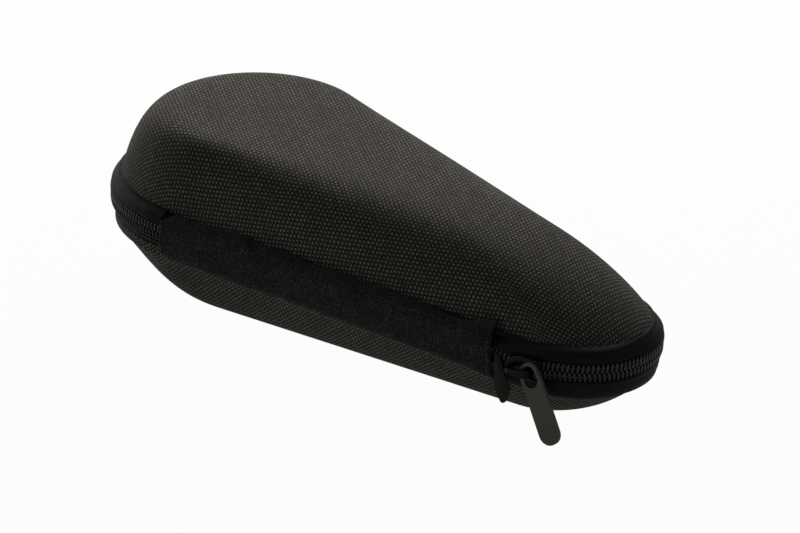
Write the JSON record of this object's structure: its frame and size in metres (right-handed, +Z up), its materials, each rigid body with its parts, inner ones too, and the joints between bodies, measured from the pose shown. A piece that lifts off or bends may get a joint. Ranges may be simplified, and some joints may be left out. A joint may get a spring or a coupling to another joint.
{
  "type": "electric shaver hard case",
  "caption": "Moulded teardrop travel case for an electric shaver, with a woven cover, a cloth hinge along one side and a zip round the rest.",
  "frame": {"origin": "on the flat bottom, on the centre plane, half way along the case", "axes": "+X along the case towards the small round end, +Z up, -Y towards the side with the cloth hinge"},
  "size_m": [0.2, 0.0865, 0.0556],
  "materials": {
    "canvas": "two-tone brown-grey basket weave, matt",
    "eva_foam": "pressed closed-cell foam, matt",
    "lining_cloth": "brushed knit, matt",
    "satin_tape": "close woven black tape, faint satin sheen",
    "webbing": "black woven webbing",
    "nylon_coil": "black nylon, semi-gloss",
    "thread": "black polyester thread",
    "binding_ribbon": "black grosgrain ribbon",
    "hinge_felt": "black felted knit, matt",
    "slider_enamel": "black baked enamel, glossy",
    "gunmetal": "gunmetal grey lacquer, satin"
  },
  "bodies": {
    "base": {"lower_canvas_cover": "canvas", "lower_eva_shell": "eva_foam", "lower_lining": "lining_cloth", "lower_zipper_tape": "satin_tape", "lower_zipper_coil": "nylon_coil", "lower_coil_cord": "thread", "lower_rim_binding": "binding_ribbon", "lower_seam_thread": "thread", "hinge_strip": "hinge_felt", "hinge_webbing": "webbing", "hinge_lining": "lining_cloth", "hinge_upper_thread": "thread", "hinge_lower_thread": "thread", "tape_end_tab": "satin_tape"},
    "lid": {"upper_canvas_cover": "canvas", "upper_eva_shell": "eva_foam", "upper_lining": "lining_cloth", "upper_zipper_tape": "satin_tape", "upper_zipper_coil": "nylon_coil", "upper_coil_cord": "thread", "upper_rim_binding": "binding_ribbon", "upper_seam_thread": "thread"},
    "slider": {"slider_body": "slider_enamel"},
    "puller": {"puller_tab": "gunmetal"}
  },
  "joints": [
    {"name": "lid_hinge", "type": "hinge", "parent": "base", "child": "lid", "pos_m": [0.01395, -0.03342, 0.02239], "axis": [0.989, 0.1396, -0.0485], "range_deg": [0, 150], "deforming": ["upper_zipper_tape", "upper_zipper_coil", "upper_coil_cord", "hinge_strip", "hinge_webbing", "hinge_lining", "hinge_upper_thread", "hinge_lower_thread"]},
    {"name": "slider_travel", "type": "hinge", "parent": "base", "child": "slider", "pos_m": [0.07541, 0, 0.01938], "axis": [0.0489, 0, 0.9988], "range_deg": [0, 150], "deforming": ["lower_zipper_tape", "lower_zipper_coil", "lower_coil_cord"]},
    {"name": "puller_swing", "type": "hinge", "parent": "slider", "child": "puller", "pos_m": [0.08108, -0.02667, 0.0191], "axis": [0.1453, -0.9785, 0.1461], "range_deg": [-70, 85]}
  ],
  "couplings": [
    {"joint": "slider_travel", "follows": "lid_hinge", "ratio": 1}
  ]
}
